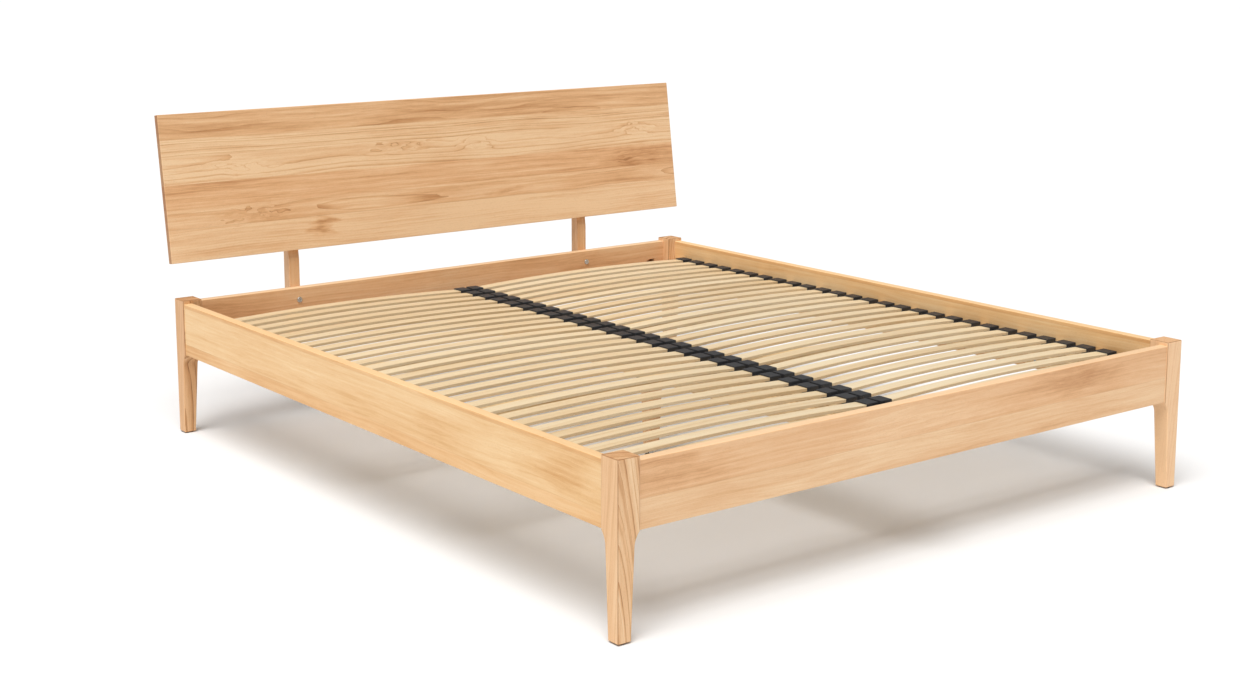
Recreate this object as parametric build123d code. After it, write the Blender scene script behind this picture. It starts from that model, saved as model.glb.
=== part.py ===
from build123d import *
import math
import os

# Double bed frame of solid wood: four tapered legs, four rails bolted between them, a leaning
# headboard on two supports, and a centre beam with an adjustable foot. Two slatted bases lie on
# ledges and on the beam, and lift out.
#
# Millimetres. +X points right seen from the foot end, +Y points to the head end, +Z is up.
# Everything is drawn about the middle of the rectangle of the legs, and moved along Y at the end
# so that the origin is on the floor, in the middle of the whole bed.

# ---------------------------------------------------------------- driving dimensions
frame_width = 1860.0          # over the outer faces of the legs
frame_length = 2130.0         # over the outer faces of the legs
leg_height = 400.0
leg_top_width = 58.0          # square, down to the rails' lower edge
leg_foot_width = 35.0         # square, at the floor
leg_shoulder_width = 44.5     # square, where the cove under the rail runs into the taper
leg_shoulder_drop = 32.0      # height of that cove
edge_radius = 2.5             # rounding of legs and rails
eased_radius = 1.5            # rounding of runners, cross rails, ledges, beam, supports, centre leg
foot_chamfer = 2.0
cove_gap = 1.0                # from the rails' lower edge down to the cove

rail_height = 151.0
rail_thickness = 27.0
rail_bottom = 239.0
rail_recess = 2.5             # rails stand back from the legs' outer faces

headboard_width = 1883.0
headboard_height = 432.0      # along its slope
headboard_thickness = 20.0
headboard_lean = 8.1          # degrees from upright
headboard_bottom = 504.0      # height of its lower front edge
headboard_inset = 18.0        # lower front edge, in from the head legs' outer faces
headboard_edge_radius = 2.0

support_width = 34.0          # across the bed
support_spacing = 1080.0      # between the two supports
support_foot_depth = 36.0     # behind the head rail
support_foot_rise = 6.0       # above the rail's lower edge
support_arm_depth = 30.0      # behind the headboard
support_bend_radius = 60.0
support_end_radius = 8.0
support_top_margin = 62.0     # headboard standing above the supports

felt_height = 3.0
felt_radius = 14.0

slat_plane = 285.0            # tops of the ledges and of the centre beam
ledge_width = 22.0
ledge_height = 28.0
ledge_length = 2000.0
beam_width = 70.0
beam_height = 50.0

dowel_radius = 5.0
dowel_length = 50.0
dowel_offset = 50.0           # above and below the stud of each rail joint
stud_radius = 4.0
stud_depth = 30.0             # in the leg
stud_bore_radius = 5.0        # in the rail's end
pocket_distance = 40.0        # from the rail's end to the nut pocket
pocket_straight = 20.0
pocket_radius = 18.0
pocket_skin = 5.5             # wood left between the pocket and the rail's outer face
nut_washer_thickness = 3.0
nut_washer_margin = 3.0       # to the pocket's floor and ceiling
nut_washer_gap = 0.5          # to the pocket's back
nut_washer_reach = 11.0       # from the stud towards the rail's open face
nut_across_flats = 13.0
nut_height = 6.5
stud_overrun = 5.0            # stud standing out of its nut

# Slatted bases
base_gap = 3.5                # each side of a base
base_length = 1990.0
runner_width = 24.0
runner_height = 40.0
cross_rail_width = 24.0
inner_cross_rail_height = 34.0
inner_cross_rail_spacing = 552.0    # four pairs of slats
base_dowel_radius = 4.0
base_dowel_length = 40.0
slat_width = 38.0
slat_thickness = 8.0
slat_camber = 12.0
slat_end_gap = 4.5            # from the runner's outer face to the slat's end
slat_pair_count = 14
slat_pair_pitch = 138.0
slat_spacing = 68.0           # between the two slats of a pair
cap_length = 36.5
cap_setback = 1.5             # from the runner's outer face
cap_wall = 2.5
cap_height = 17.0
cap_floor = 4.0
cap_roof = 2.6
cap_slat_clearance = 0.3
cap_bridge_length = 24.0
cap_bridge_height = 8.0
cap_peg_radius = 4.5
cap_peg_length = 12.0
cap_edge_radius = 2.0
base_dowel_shares = (0.27, 0.73)    # of a cross rail's height

# Centre foot
centre_leg_top_width = 44.0
centre_leg_foot_width = 32.0
centre_leg_bottom = 34.0
centre_plate_size = 76.0
centre_plate_thickness = 3.0
centre_plate_corner_radius = 5.0
centre_plate_screw_margin = 8.0
centre_stud_depth = 22.0
insert_radius = 6.0
insert_length = 18.0
insert_flange_radius = 9.0
insert_flange_height = 1.5
spindle_radius = 4.0
spindle_clearance = 0.08
spindle_top = 62.0
spindle_hex_height = 6.0
spindle_chamfer = 0.8
glide_radius = 19.0
glide_height = 7.0
glide_boss_radius = 9.0
glide_boss_height = 4.0
glide_edge_radius = 2.0
glide_felt_margin = 2.0

# Beam shoes
shoe_thickness = 2.5
shoe_depth = 42.0
shoe_flange_width = 24.0
shoe_flange_bottom = 245.0
shoe_flange_top = 318.0
shoe_wall_drop = 2.0          # walls end below the beam's top
shoe_corner_radius = 6.0
shoe_screw_margin = 12.0

# Fasteners
screw_head_radius = 4.4
screw_shank_radius = 2.1
screw_head_height = 2.6
recess_length = 4.6
recess_width = 1.0
recess_depth = 1.6
ledge_screw_length = 40.0
ledge_screw_count = 7
ledge_screw_spacing = 310.0
headboard_screw_length = 44.0
headboard_screw_count = 3
headboard_first_screw = 48.0  # up the slope from the headboard's lower edge
headboard_screw_spacing = 140.0
plate_screw_length = 22.0
bolt_radius = 4.0
bolt_head_radius = 8.5
bolt_head_height = 2.4
bolt_head_rounding = 1.2
bolt_sleeve_radius = 5.4
bolt_sleeve_length = 18.0
bolt_end_gap = 3.0
bolt_socket_width = 5.0
bolt_socket_depth = 2.0
bolt_spacing = 76.0           # between the two bolts of a support

# ---------------------------------------------------------------- derived places
half_width = frame_width / 2
half_length = frame_length / 2
rail_top = rail_bottom + rail_height
rail_middle = rail_bottom + rail_height / 2
stud_inset = rail_recess + rail_thickness / 2
inner_face = rail_recess + rail_thickness
side_inner_x = half_width - inner_face
end_inner_y = half_length - inner_face
nut_distance = pocket_distance + nut_washer_thickness
beam_bottom = slat_plane - beam_height
runner_top = slat_plane + runner_height
base_outer_x = side_inner_x - base_gap
slat_seat = runner_top + cap_floor
lean = math.radians(headboard_lean)

CORNERS = {
    "foot_left": (),
    "foot_right": (Plane.YZ,),
    "head_left": (Plane.XZ,),
    "head_right": (Plane.YZ, Plane.XZ),
}
UP = (0, 0, 1)
DOWN = (0, 0, -1)


# ---------------------------------------------------------------- helpers
def block(x, y, z):
    """A box between three (low, high) pairs."""
    spans = (x, y, z)
    size = [high - low for low, high in spans]
    middle = [(high + low) / 2 for low, high in spans]
    return Pos(*middle) * Box(*size)


def rod(radius, start, direction, length):
    """A cylinder from a start point along a direction."""
    return extrude(Plane(origin=start, z_dir=direction) * Circle(radius), amount=length)


def hexagon(across_flats, start, direction, length):
    """A hexagonal prism from a start point along a direction."""
    outline = RegularPolygon(across_flats / 2, 6, major_radius=False)
    return extrude(Plane(origin=start, z_dir=direction) * outline, amount=length)


def screw_hole(start, direction, length):
    """The outline of a countersunk wood screw whose head lies flush at the start point."""
    base = (Align.CENTER, Align.CENTER, Align.MIN)
    head = Cone(screw_head_radius, screw_shank_radius, screw_head_height, align=base)
    shank = Cylinder(screw_shank_radius, length, align=base)
    return Plane(origin=start, z_dir=direction).location * (head + shank)


def wood_screw(start, direction, length):
    """A countersunk wood screw with a cross recess."""
    place = Plane(origin=start, z_dir=direction).location
    bars = Box(recess_length, recess_width, recess_depth) + Box(recess_width, recess_length, recess_depth)
    return screw_hole(start, direction, length) - place * Pos(0, 0, recess_depth / 2) * bars


def moved_to_corner(piece, corner):
    """A piece of the left foot corner, mirrored into another corner."""
    for plane in CORNERS[corner]:
        piece = mirror(piece, about=plane)
    return piece


def both_sides(piece):
    """A piece of the left side and its mirror image on the right."""
    return {"left": piece, "right": mirror(piece, about=Plane.YZ)}


def eased(body, axis):
    """A body whose edges along an axis are rounded a little, as planed wood is."""
    return fillet(body.edges().filter_by(axis), eased_radius)


def group(pieces):
    """Separate solids kept together in one node."""
    return Compound(list(pieces))


def cut(body, tools):
    """A body with each tool taken away."""
    for tool in tools:
        body = body - tool
    return body


# ---------------------------------------------------------------- rail joints
# Drawn at the left foot corner, with the leg's outer faces at X = 0 and Y = 0 and the side rail
# running along +Y. The end rail's joint is the mirror image about the corner's diagonal.
corner_place = Pos(-half_width, -half_length, 0)
diagonal = Plane(origin=(0, 0, 0), x_dir=(0, 0, 1), z_dir=(1, -1, 0))


def joint_point(distance, rise=0.0):
    """A point on the side rail's middle line, a distance along it from the leg's face."""
    return (stud_inset, leg_top_width + distance, rail_middle + rise)


def joint_stud():
    length = stud_depth + nut_distance + nut_height + stud_overrun
    return rod(stud_radius, joint_point(-stud_depth), (0, 1, 0), length)


def joint_dowels():
    start = -dowel_length / 2
    return [
        rod(dowel_radius, joint_point(start, rise), (0, 1, 0), dowel_length)
        for rise in (-dowel_offset, dowel_offset)
    ]


def joint_nut():
    body = hexagon(nut_across_flats, joint_point(nut_distance), (0, 1, 0), nut_height)
    return body - rod(stud_radius, joint_point(nut_distance), (0, 1, 0), nut_height)


def joint_washer():
    """The plate that spreads the nut's load over the flat wall of its pocket."""
    x_centre, y_start, z_centre = joint_point(pocket_distance)
    half_height = pocket_radius - nut_washer_margin
    plate = block(
        (rail_recess + pocket_skin + nut_washer_gap, x_centre + nut_washer_reach),
        (y_start, y_start + nut_washer_thickness),
        (z_centre - half_height, z_centre + half_height),
    )
    return plate - rod(stud_radius, joint_point(pocket_distance), (0, 1, 0), nut_washer_thickness)


def joint_pocket():
    """The nut pocket in the rail's inner face: a flat wall towards the leg and a round end."""
    x_span = (rail_recess + pocket_skin, inner_face + 1)
    straight_end = leg_top_width + pocket_distance + pocket_straight
    straight = block(
        x_span,
        (leg_top_width + pocket_distance, straight_end),
        (rail_middle - pocket_radius, rail_middle + pocket_radius),
    )
    round_end = rod(pocket_radius, (x_span[0], straight_end, rail_middle), (1, 0, 0), x_span[1] - x_span[0])
    return straight + round_end


def joint_bore():
    return rod(stud_bore_radius, joint_point(0), (0, 1, 0), pocket_distance)


def on_joints(piece, rails):
    """A joint's piece placed at the four joints of the side rails or of the end rails."""
    if rails == "end":
        piece = mirror(piece, about=diagonal)
    piece = corner_place * piece
    return {corner: moved_to_corner(piece, corner) for corner in CORNERS}


# ---------------------------------------------------------------- legs, rails and glides
def leg_outline():
    """The leg's side view: outer edge upright, inner edge straight, coved and then tapered."""
    cove_top = rail_bottom - cove_gap
    cove_bottom = cove_top - leg_shoulder_drop
    taper = (leg_shoulder_width - leg_foot_width, cove_bottom - felt_height)
    lower = Polyline((0, leg_height), (0, felt_height), (leg_foot_width, felt_height),
                     (leg_shoulder_width, cove_bottom))
    cove = TangentArc((leg_shoulder_width, cove_bottom), (leg_top_width, cove_top), tangent=taper)
    upper = Polyline((leg_top_width, cove_top), (leg_top_width, leg_height), (0, leg_height))
    return make_face(lower + cove + upper)


def leg():
    """The left foot leg, tapered on both inner faces."""
    seen_from_end = extrude(Plane.XZ * leg_outline(), amount=-leg_top_width)
    seen_from_side = extrude(Plane.YZ * leg_outline(), amount=leg_top_width)
    body = seen_from_end & seen_from_side
    top = body.faces().sort_by(Axis.Z)[-1]
    bottom = body.faces().sort_by(Axis.Z)[0]
    level = [*top.edges(), *bottom.edges()]
    upright = [edge for edge in body.edges() if not any(edge.is_same(flat) for flat in level)]
    upright = [edge for edge in upright if abs(edge.tangent_at(0.5).Z) > 0.5]
    body = fillet(upright, edge_radius)
    body = fillet(body.faces().sort_by(Axis.Z)[-1].edges(), edge_radius)
    return chamfer(body.faces().sort_by(Axis.Z)[0].edges(), foot_chamfer)


def rail_blank(x_span, y_span, long_axis):
    """A rail without its bores, its four long edges rounded."""
    body = block(x_span, y_span, (rail_bottom, rail_top))
    return fillet(body.edges().filter_by(long_axis), edge_radius)


def left_side_rail_blank():
    reach = half_length - leg_top_width
    return rail_blank((-half_width + rail_recess, -side_inner_x), (-reach, reach), Axis.Y)


def foot_rail_blank():
    reach = half_width - leg_top_width
    return rail_blank((-reach, reach), (-half_length + rail_recess, -end_inner_y), Axis.X)


def felt_glide():
    middle = leg_foot_width / 2
    return rod(felt_radius, (middle, middle, 0), UP, felt_height)


# ---------------------------------------------------------------- headboard and its supports
def headboard_point(rise, depth):
    """(Y, Z) of a point a distance up the headboard's slope and a depth behind its front face."""
    y_start = half_length - headboard_inset
    y = y_start + rise * math.sin(lean) + depth * math.cos(lean)
    z = headboard_bottom + rise * math.cos(lean) - depth * math.sin(lean)
    return y, z


def headboard():
    body = block(
        (-headboard_width / 2, headboard_width / 2), (0, headboard_thickness), (0, headboard_height)
    )
    body = fillet(body.edges(), headboard_edge_radius)
    return Pos(0, half_length - headboard_inset, headboard_bottom) * Rot(-headboard_lean, 0, 0) * body


def on_slope_line(y, depth):
    """Height at which the plane a depth behind the headboard's front face passes a given Y."""
    start_y, start_z = headboard_point(0, depth)
    return start_z + (y - start_y) / math.tan(lean)


def headboard_support():
    """The left support: upright behind the head rail, then leaning along the headboard's back."""
    front_y = half_length - rail_recess
    back_y = front_y + support_foot_depth
    top_rise = headboard_height - support_top_margin
    foot_z = rail_bottom + support_foot_rise
    arm_back = headboard_thickness + support_arm_depth
    outline = [
        (front_y, foot_z),
        (front_y, on_slope_line(front_y, headboard_thickness)),
        headboard_point(top_rise, headboard_thickness),
        headboard_point(top_rise, arm_back),
        (back_y, on_slope_line(back_y, arm_back)),
        (back_y, foot_z),
    ]
    face = Plane.YZ * make_face(Polyline(*outline, close=True))
    body = extrude(face, amount=support_width / 2, both=True)
    bends = [outline[1], outline[4]]
    ends = [outline[3], outline[5]]
    body = fillet(edges_at(body, bends), support_bend_radius)
    body = fillet(edges_at(body, ends), support_end_radius)
    sides = body.faces().sort_by(Axis.X)
    body = fillet([*sides[0].edges(), *sides[-1].edges()], eased_radius)
    return Pos(-support_spacing / 2, 0, 0) * body


def edges_at(body, points):
    """The edges along X that pass through the given (Y, Z) points."""
    found = []
    for edge in body.edges().filter_by(Axis.X):
        middle = edge.center()
        if any(math.dist((middle.Y, middle.Z), point) < 0.1 for point in points):
            found.append(edge)
    return found


def support_bolt_points():
    x = -support_spacing / 2
    y = half_length - rail_recess + support_foot_depth
    return [(x, y, rail_middle + sign * bolt_spacing / 2) for sign in (-1, 1)]


def support_bolt(point):
    """A furniture bolt entering from behind the support, its flat head on the support's back."""
    x, y, z = point
    length = support_foot_depth + rail_thickness - bolt_end_gap
    head = rod(bolt_head_radius, point, (0, 1, 0), bolt_head_height)
    head = fillet(head.faces().sort_by(Axis.Y)[-1].edges(), bolt_head_rounding)
    socket_start = (x, y + bolt_head_height - bolt_socket_depth, z)
    socket = hexagon(bolt_socket_width, socket_start, (0, 1, 0), bolt_socket_depth)
    return head + rod(bolt_radius, point, (0, -1, 0), length) - socket


def support_sleeve_nut(point):
    """The capped sleeve nut on the head rail's inner face that takes the bolt's end."""
    x, _, z = point
    head = rod(bolt_head_radius, (x, end_inner_y, z), (0, -1, 0), bolt_head_height)
    head = fillet(head.faces().sort_by(Axis.Y)[0].edges(), bolt_head_rounding)
    sleeve = rod(bolt_sleeve_radius, (x, end_inner_y, z), (0, 1, 0), bolt_sleeve_length)
    bore_start = (x, end_inner_y + bolt_end_gap, z)
    bore = rod(bolt_radius, bore_start, (0, 1, 0), bolt_sleeve_length)
    socket_start = (x, end_inner_y - bolt_head_height, z)
    socket = hexagon(bolt_socket_width, socket_start, (0, 1, 0), bolt_socket_depth)
    return head + sleeve - bore - socket


def support_bolt_hole(point):
    """The stepped hole through support and rail: bolt shank first, then the sleeve."""
    x, y, z = point
    shank = rod(bolt_radius, point, (0, -1, 0), support_foot_depth + rail_thickness)
    sleeve = rod(bolt_sleeve_radius, (x, end_inner_y, z), (0, 1, 0), bolt_sleeve_length)
    return shank + sleeve


def headboard_screw_places():
    """Start points of the left support's screws into the headboard's back."""
    arm_back = headboard_thickness + support_arm_depth
    places = []
    for index in range(headboard_screw_count):
        rise = headboard_first_screw + index * headboard_screw_spacing
        y, z = headboard_point(rise, arm_back)
        places.append((-support_spacing / 2, y, z))
    return places


HEADBOARD_INWARDS = (0, -math.cos(lean), math.sin(lean))


# ---------------------------------------------------------------- ledges and centre beam
def ledge():
    x_span = (-side_inner_x, -side_inner_x + ledge_width)
    y_span = (-ledge_length / 2, ledge_length / 2)
    return eased(block(x_span, y_span, (slat_plane - ledge_height, slat_plane)), Axis.Y)


def ledge_screw_places():
    x = -side_inner_x + ledge_width
    z = slat_plane - ledge_height / 2
    first = -(ledge_screw_count - 1) / 2
    return [(x, (first + index) * ledge_screw_spacing, z) for index in range(ledge_screw_count)]


def beam():
    end_y = end_inner_y - shoe_thickness
    x_span = (-beam_width / 2, beam_width / 2)
    return eased(block(x_span, (-end_y, end_y), (beam_bottom, slat_plane)), Axis.Y)


def shoe():
    """The pressed steel shoe on the foot rail that carries the beam's end."""
    back_y = -end_inner_y
    y_plate = (back_y, back_y + shoe_thickness)
    y_cradle = (back_y, back_y + shoe_thickness + shoe_depth)
    inner = beam_width / 2
    outer = inner + shoe_thickness
    flange = outer + shoe_flange_width
    low = beam_bottom - shoe_thickness
    wall_top = slat_plane - shoe_wall_drop
    plate = block((-flange, flange), y_plate, (shoe_flange_bottom, shoe_flange_top))
    plate = fillet(plate.edges().filter_by(Axis.Y), shoe_corner_radius)
    cradle = block((-outer, outer), y_cradle, (low, wall_top))
    hollow = block((-inner, inner), (y_plate[1], y_cradle[1]), (beam_bottom, wall_top))
    return plate + (cradle - hollow)


def shoe_screw_places():
    """The four screws of the foot rail's shoe."""
    x = beam_width / 2 + shoe_thickness + shoe_flange_width / 2
    y = -end_inner_y + shoe_thickness
    heights = (shoe_flange_bottom + shoe_screw_margin, shoe_flange_top - shoe_screw_margin)
    return [(side * x, y, z) for side in (-1, 1) for z in heights]


# ---------------------------------------------------------------- centre foot
def centre_leg():
    top = beam_bottom - centre_plate_thickness
    lower = Plane.XY.offset(centre_leg_bottom) * Rectangle(centre_leg_foot_width, centre_leg_foot_width)
    upper = Plane.XY.offset(top) * Rectangle(centre_leg_top_width, centre_leg_top_width)
    body = loft([lower, upper])
    upright = [edge for edge in body.edges() if abs(edge.tangent_at(0.5).Z) > 0.5]
    return fillet(upright, eased_radius)


def centre_plate():
    half = centre_plate_size / 2
    plate = block((-half, half), (-half, half), (beam_bottom - centre_plate_thickness, beam_bottom))
    return fillet(plate.edges().filter_by(Axis.Z), centre_plate_corner_radius)


def centre_stud():
    """The threaded stud that holds the leg to its plate and stands in the beam."""
    middle = beam_bottom - centre_plate_thickness / 2
    return rod(stud_radius, (0, 0, middle - centre_stud_depth), UP, 2 * centre_stud_depth)


def centre_plate_screw_places():
    """Screws outside the leg, near the plate's corners, pointing up into the beam."""
    reach = centre_plate_size / 2 - centre_plate_screw_margin
    z = beam_bottom - centre_plate_thickness
    return [(x, y, z) for x in (-reach, reach) for y in (-reach, reach)]


def insert_outline():
    flange_start = (0, 0, centre_leg_bottom - insert_flange_height)
    flange = rod(insert_flange_radius, flange_start, UP, insert_flange_height)
    return flange + rod(insert_radius, (0, 0, centre_leg_bottom), UP, insert_length)


def centre_insert():
    """The threaded bush in the leg's lower end."""
    start = (0, 0, centre_leg_bottom - insert_flange_height)
    bore = rod(spindle_radius + spindle_clearance, start, UP, insert_flange_height + insert_length)
    return insert_outline() - bore


def spindle():
    """The levelling screw, with a spanner hexagon above the glide."""
    start = felt_height + glide_height / 2
    hexagon_start = felt_height + glide_height + glide_boss_height
    screw = rod(spindle_radius, (0, 0, start), UP, spindle_top - start)
    screw = chamfer(screw.edges().sort_by(Axis.Z)[-1], spindle_chamfer)
    return screw + hexagon(nut_across_flats, (0, 0, hexagon_start), UP, spindle_hex_height)


def glide():
    """The round plastic glide that the spindle stands in."""
    disc = rod(glide_radius, (0, 0, felt_height), UP, glide_height)
    disc = fillet(disc.edges().sort_by(Axis.Z)[-1], glide_edge_radius)
    boss = rod(glide_boss_radius, (0, 0, felt_height + glide_height), UP, glide_boss_height)
    socket_start = felt_height + glide_height / 2
    socket = rod(spindle_radius, (0, 0, socket_start), UP, glide_height + glide_boss_height)
    return disc + boss - socket


def glide_felt():
    return rod(glide_radius - glide_felt_margin, (0, 0, 0), UP, felt_height)


# ---------------------------------------------------------------- slatted base, drawn on the left
# X runs from the side rail inwards, so the outer runner is the one beside the side rail.
base_outer = -base_outer_x
base_inner = -base_gap
runner_faces = {
    "outer": (base_outer, base_outer + runner_width),
    "inner": (base_inner - runner_width, base_inner),
}


def slat_pair_places():
    first = -(slat_pair_count - 1) / 2
    return [(first + index) * slat_pair_pitch for index in range(slat_pair_count)]


def slat_places():
    return [y + side * slat_spacing / 2 for y in slat_pair_places() for side in (-1, 1)]


def slat(y):
    """One cambered slat, its ends resting on the caps' floors."""
    left = base_outer + slat_end_gap
    right = base_inner - slat_end_gap
    middle = (left + right) / 2
    top = slat_seat + slat_thickness
    lower = ThreePointArc((left, slat_seat), (middle, slat_seat + slat_camber), (right, slat_seat))
    upper = ThreePointArc((right, top), (middle, top + slat_camber), (left, top))
    ends = Line((right, slat_seat), (right, top)) + Line((left, top), (left, slat_seat))
    face = Plane(origin=(0, y, 0), x_dir=(1, 0, 0), z_dir=(0, -1, 0)) * make_face(lower + upper + ends)
    return extrude(face, amount=slat_width / 2, both=True)


def outer_cap(y_pair):
    """A double cap on the outer runner: two slat sockets, a bridge between them and a peg."""
    x_low = base_outer + cap_setback
    x_span = (x_low, x_low + cap_length)
    half_housing = slat_width / 2 + cap_slat_clearance + cap_wall
    half_socket = slat_width / 2 + cap_slat_clearance
    bridge_reach = slat_spacing / 2
    body = block(
        (x_low, x_low + cap_bridge_length),
        (y_pair - bridge_reach, y_pair + bridge_reach),
        (runner_top, runner_top + cap_bridge_height),
    )
    sockets = []
    x_socket = (x_low + cap_wall, x_span[1] + 1)
    z_socket = (slat_seat, runner_top + cap_height - cap_roof)
    for side in (-1, 1):
        y = y_pair + side * slat_spacing / 2
        housing = block(x_span, (y - half_housing, y + half_housing), (runner_top, runner_top + cap_height))
        housing = fillet(housing.faces().sort_by(Axis.Z)[-1].edges(), cap_edge_radius)
        body = body + housing
        sockets.append(block(x_socket, (y - half_socket, y + half_socket), z_socket))
    body = cut(body, sockets)
    return body + cap_peg("outer", y_pair)


def cap_peg(runner, y_pair):
    x_middle = sum(runner_faces[runner]) / 2
    return rod(cap_peg_radius, (x_middle, y_pair, runner_top), DOWN, cap_peg_length)


def base_mirror():
    """The upright plane along the middle of the left base."""
    return Plane(origin=((base_outer + base_inner) / 2, 0, 0), x_dir=(0, 1, 0), z_dir=(1, 0, 0))


def runner_caps(runner):
    caps = [outer_cap(y) for y in slat_pair_places()]
    if runner == "inner":
        caps = [mirror(cap, about=base_mirror()) for cap in caps]
    return caps


def cross_rail_spans():
    """Name: (Y span, height) of each cross rail."""
    end = base_length / 2
    inner = inner_cross_rail_spacing / 2
    half = cross_rail_width / 2
    return {
        "foot_cross_rail": ((-end, -end + cross_rail_width), runner_height),
        "foot_inner_cross_rail": ((-inner - half, -inner + half), inner_cross_rail_height),
        "head_inner_cross_rail": ((inner - half, inner + half), inner_cross_rail_height),
        "head_cross_rail": ((end - cross_rail_width, end), runner_height),
    }


def base_dowels():
    """Two dowels at each end of each cross rail."""
    dowels = []
    x_joints = (runner_faces["outer"][1], runner_faces["inner"][0])
    for y_span, height in cross_rail_spans().values():
        y = sum(y_span) / 2
        for x in x_joints:
            for share in base_dowel_shares:
                start = (x - base_dowel_length / 2, y, slat_plane + share * height)
                dowels.append(rod(base_dowel_radius, start, (1, 0, 0), base_dowel_length))
    return dowels


def left_base():
    """Every node of the left slatted base."""
    dowels = base_dowels()
    end = base_length / 2
    nodes = {}
    for runner, x_span in runner_faces.items():
        blank = eased(block(x_span, (-end, end), (slat_plane, runner_top)), Axis.Y)
        pegs = [cap_peg(runner, y) for y in slat_pair_places()]
        nodes[f"{runner}_runner"] = cut(blank, dowels + pegs)
        nodes[f"{runner}_slat_caps"] = group(runner_caps(runner))
    x_span = (runner_faces["outer"][1], runner_faces["inner"][0])
    for name, (y_span, height) in cross_rail_spans().items():
        blank = eased(block(x_span, y_span, (slat_plane, slat_plane + height)), Axis.X)
        nodes[name] = cut(blank, dowels)
    nodes["slats"] = group(slat(y) for y in slat_places())
    nodes["dowels"] = group(dowels)
    return nodes


# ---------------------------------------------------------------- assembly
def joint_nodes():
    """The fasteners of the eight rail joints, and what they cut out of legs and rails."""
    kinds = ("side", "end")
    studs = {kind: on_joints(joint_stud(), kind) for kind in kinds}
    nuts = {kind: on_joints(joint_nut(), kind) for kind in kinds}
    washers = {kind: on_joints(joint_washer(), kind) for kind in kinds}
    pockets = {kind: on_joints(joint_pocket(), kind) for kind in kinds}
    bores = {kind: on_joints(joint_bore(), kind) for kind in kinds}
    dowels = {kind: [on_joints(dowel, kind) for dowel in joint_dowels()] for kind in kinds}
    nodes = {
        "rail_studs": group(studs[kind][corner] for kind in kinds for corner in CORNERS),
        "rail_nuts": group(nuts[kind][corner] for kind in kinds for corner in CORNERS),
        "rail_nut_washers": group(washers[kind][corner] for kind in kinds for corner in CORNERS),
        "rail_dowels": group(
            row[corner] for kind in kinds for row in dowels[kind] for corner in CORNERS
        ),
    }
    leg_cuts = {
        corner: [studs[kind][corner] for kind in kinds]
        + [row[corner] for kind in kinds for row in dowels[kind]]
        for corner in CORNERS
    }
    rail_cuts = {
        kind: {
            corner: [pockets[kind][corner], bores[kind][corner], *(row[corner] for row in dowels[kind])]
            for corner in CORNERS
        }
        for kind in kinds
    }
    return nodes, leg_cuts, rail_cuts


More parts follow.
